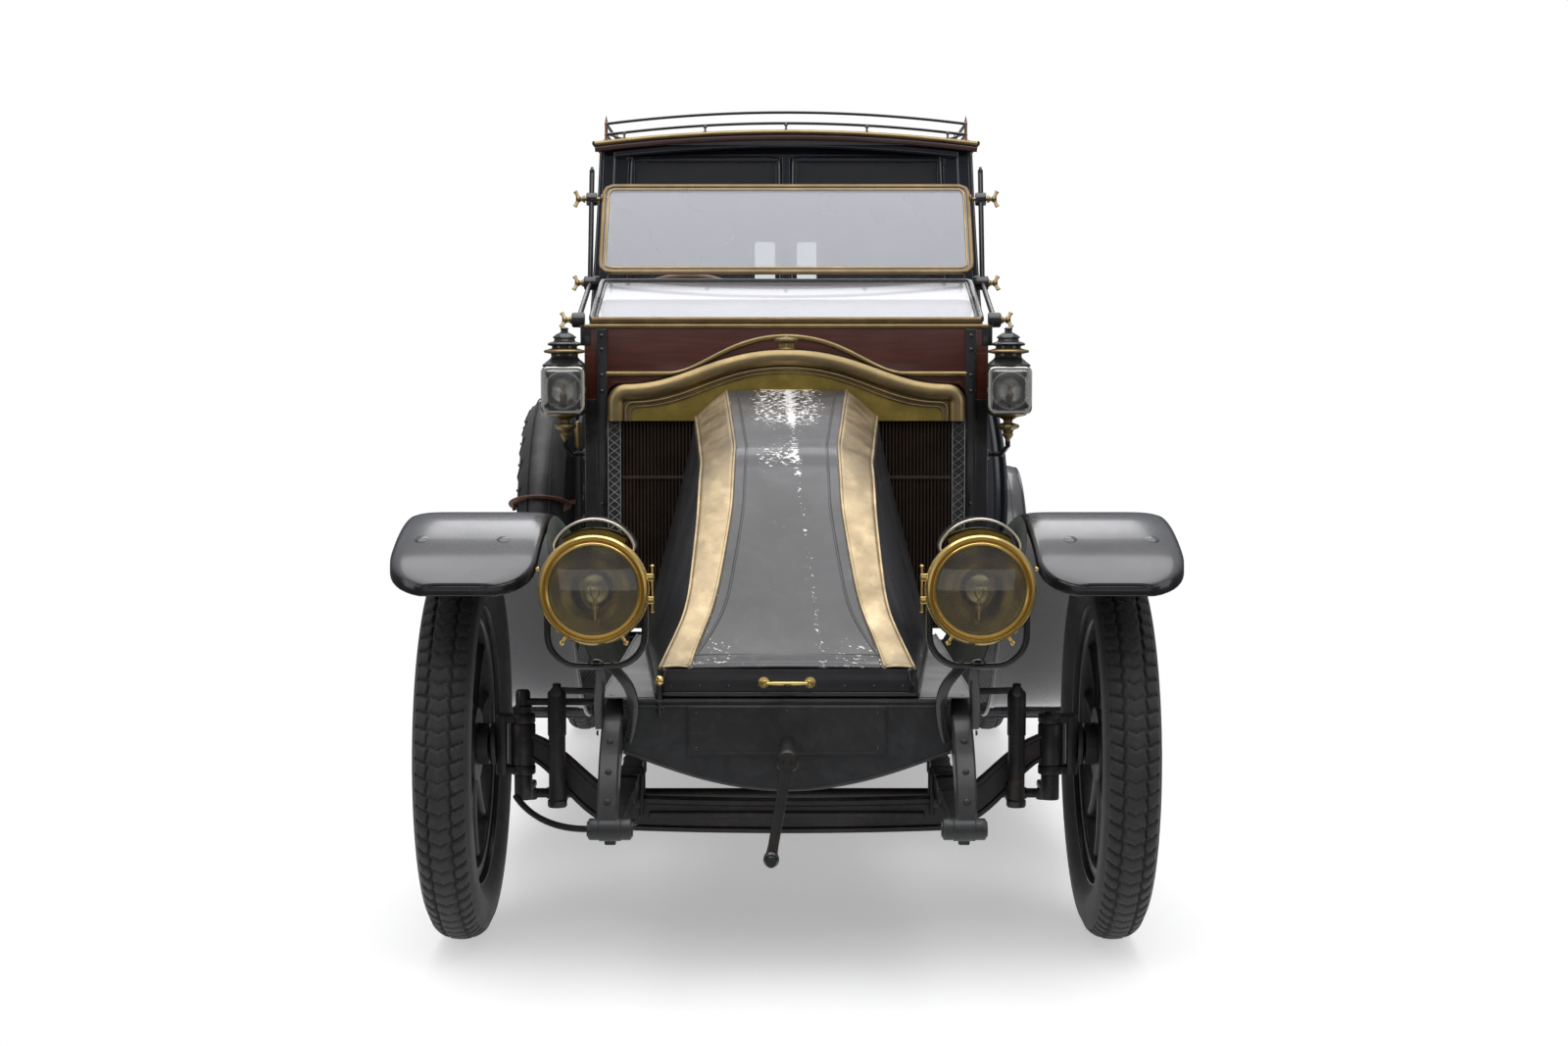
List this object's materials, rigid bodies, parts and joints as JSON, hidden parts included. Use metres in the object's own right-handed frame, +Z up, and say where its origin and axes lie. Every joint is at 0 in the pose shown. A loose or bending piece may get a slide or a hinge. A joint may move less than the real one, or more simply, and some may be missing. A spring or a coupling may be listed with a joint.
{
  "type": "brass era town car",
  "caption": "Early town car with an open driver's seat, closed cab, sloping bonnet before a dashboard radiator, wooden spoked wheels, brass lamps and steering that works.",
  "frame": {"origin": "on the ground under the middle of the whole car", "axes": "+X towards the car's left-hand side, +Y towards its rear, +Z up"},
  "size_m": [1.63, 4.273, 2.0199],
  "materials": {
    "chassis_paint": "worn black enamel, rusty at the joints",
    "engine_iron": "grey-green cast iron",
    "body_paint": "blue-black coach paint",
    "fender_paint": "black enamel, dusty",
    "bonnet_paint": "worn charcoal paint with chips",
    "plate_paint": "plain black plate",
    "radiator_core": "dark brown tubes and fins",
    "aged_brass": "aged tan brass",
    "lamp_brass": "polished brass",
    "mahogany": "varnished mahogany",
    "floor_wood": "oiled boards",
    "black_iron": "glossy black enamel on iron",
    "leather": "black buttoned leather",
    "seat_cloth": "drab cord cloth",
    "glass": "clear window glass",
    "roof_cloth": "black weatherproof cloth",
    "board_rubber": "ribbed rubber in a metal edge",
    "bare_steel": "dull steel",
    "cover_cloth": "black laced tyre cover",
    "wheel_wood": "black painted wood",
    "wheel_rim_wood": "dark varnished rim",
    "tyre": "weathered black rubber"
  },
  "bodies": {
    "chassis": {"frame_rails": "chassis_paint", "crossmembers": "chassis_paint", "front_springs": "chassis_paint", "rear_springs": "chassis_paint", "front_axle": "chassis_paint", "rear_axle": "chassis_paint", "engine_block": "engine_iron", "gearbox": "engine_iron", "front_apron": "fender_paint", "number_plate": "plate_paint", "radiator": "radiator_core", "radiator_header": "aged_brass", "dashboard": "mahogany", "lower_windscreen": "aged_brass", "windscreen_posts": "black_iron", "floor": "floor_wood", "seat_box": "body_paint", "driver_seat": "leather", "division": "body_paint", "cab_sides": "body_paint", "cab_back": "body_paint", "fixed_glass": "glass", "roof": "roof_cloth", "roof_rail": "black_iron", "rear_seat": "seat_cloth", "front_fenders": "fender_paint", "rear_fenders": "fender_paint", "running_boards": "board_rubber", "headlamps": "lamp_brass", "side_lamps": "black_iron", "tail_lamp": "lamp_brass", "starting_crank": "bare_steel", "steering_column": "black_iron", "control_levers": "bare_steel", "spare_tyre": "cover_cloth", "silencer": "engine_iron"},
    "bonnet": {"bonnet": "bonnet_paint"},
    "upper_windscreen": {"upper_windscreen": "aged_brass", "upper_glass": "glass"},
    "left_door": {"left_door": "body_paint", "left_door_glass": "glass"},
    "right_door": {"right_door": "body_paint", "right_door_glass": "glass"},
    "left_knuckle": {"left_knuckle": "chassis_paint"},
    "right_knuckle": {"right_knuckle": "chassis_paint"},
    "tie_rod": {"tie_rod": "chassis_paint"},
    "drag_link": {"drag_link": "chassis_paint"},
    "drop_arm": {"drop_arm": "chassis_paint"},
    "steering_wheel": {"steering_wheel": "wheel_rim_wood"},
    "front_left_wheel": {"front_left_wheel": "wheel_wood", "front_left_tyre": "tyre"},
    "front_right_wheel": {"front_right_wheel": "wheel_wood", "front_right_tyre": "tyre"},
    "rear_left_wheel": {"rear_left_wheel": "wheel_wood", "rear_left_tyre": "tyre"},
    "rear_right_wheel": {"rear_right_wheel": "wheel_wood", "rear_right_tyre": "tyre"}
  },
  "joints": [
    {"name": "steer_left", "type": "hinge", "parent": "chassis", "child": "left_knuckle", "pos_m": [0.575, -1.4165, 0.42], "axis": [0, 0, 1], "range_deg": [-25, 25]},
    {"name": "steer_right", "type": "hinge", "parent": "chassis", "child": "right_knuckle", "pos_m": [-0.575, -1.4165, 0.42], "axis": [0, 0, 1], "range_deg": [-25, 25]},
    {"name": "tie_rod_turn", "type": "hinge", "parent": "left_knuckle", "child": "tie_rod", "pos_m": [0.575, -1.2665, 0.285], "axis": [0, 0, 1], "range_deg": [-25, 25]},
    {"name": "drag_link_turn", "type": "hinge", "parent": "right_knuckle", "child": "drag_link", "pos_m": [-0.41, -1.4165, 0.492], "axis": [0, 0, 1], "range_deg": [-25, 25]},
    {"name": "drop_arm_swing", "type": "hinge", "parent": "chassis", "child": "drop_arm", "pos_m": [-0.377, -0.5865, 0.522], "axis": [1, 0, 0], "range_deg": [-27.5, 27.5]},
    {"name": "steering_wheel_turn", "type": "hinge", "parent": "chassis", "child": "steering_wheel", "pos_m": [-0.268, 0.0835, 1.388], "axis": [0, 0.5878, 0.809], "range_deg": [-300, 300]},
    {"name": "front_left_spin", "type": "hinge", "parent": "left_knuckle", "child": "front_left_wheel", "pos_m": [0.7, -1.4165, 0.42], "axis": [1, 0, 0], "continuous": true},
    {"name": "front_right_spin", "type": "hinge", "parent": "right_knuckle", "child": "front_right_wheel", "pos_m": [-0.7, -1.4165, 0.42], "axis": [1, 0, 0], "continuous": true},
    {"name": "rear_left_spin", "type": "hinge", "parent": "chassis", "child": "rear_left_wheel", "pos_m": [0.7, 1.6335, 0.42], "axis": [1, 0, 0], "continuous": true},
    {"name": "rear_right_spin", "type": "hinge", "parent": "chassis", "child": "rear_right_wheel", "pos_m": [-0.7, 1.6335, 0.42], "axis": [1, 0, 0], "continuous": true},
    {"name": "left_door_swing", "type": "hinge", "parent": "chassis", "child": "left_door", "pos_m": [0.686, 1.1235, 1], "axis": [0, 0, 1], "range_deg": [0, 75]},
    {"name": "right_door_swing", "type": "hinge", "parent": "chassis", "child": "right_door", "pos_m": [-0.686, 1.1235, 1], "axis": [0, 0, -1], "range_deg": [0, 75]},
    {"name": "bonnet_lift", "type": "hinge", "parent": "chassis", "child": "bonnet", "pos_m": [0, -0.7215, 1.186], "axis": [-1, 0, 0], "range_deg": [0, 60]},
    {"name": "upper_windscreen_tilt", "type": "hinge", "parent": "chassis", "child": "upper_windscreen", "pos_m": [0, -0.1295, 1.703], "axis": [-1, 0, 0], "range_deg": [0, 60]}
  ],
  "couplings": [
    {"joint": "steer_right", "follows": "steer_left", "ratio": 1},
    {"joint": "tie_rod_turn", "follows": "steer_left", "ratio": -1},
    {"joint": "drag_link_turn", "follows": "steer_left", "ratio": -1},
    {"joint": "drop_arm_swing", "follows": "steer_left", "ratio": 1.1},
    {"joint": "steering_wheel_turn", "follows": "steer_left", "ratio": 12}
  ]
}
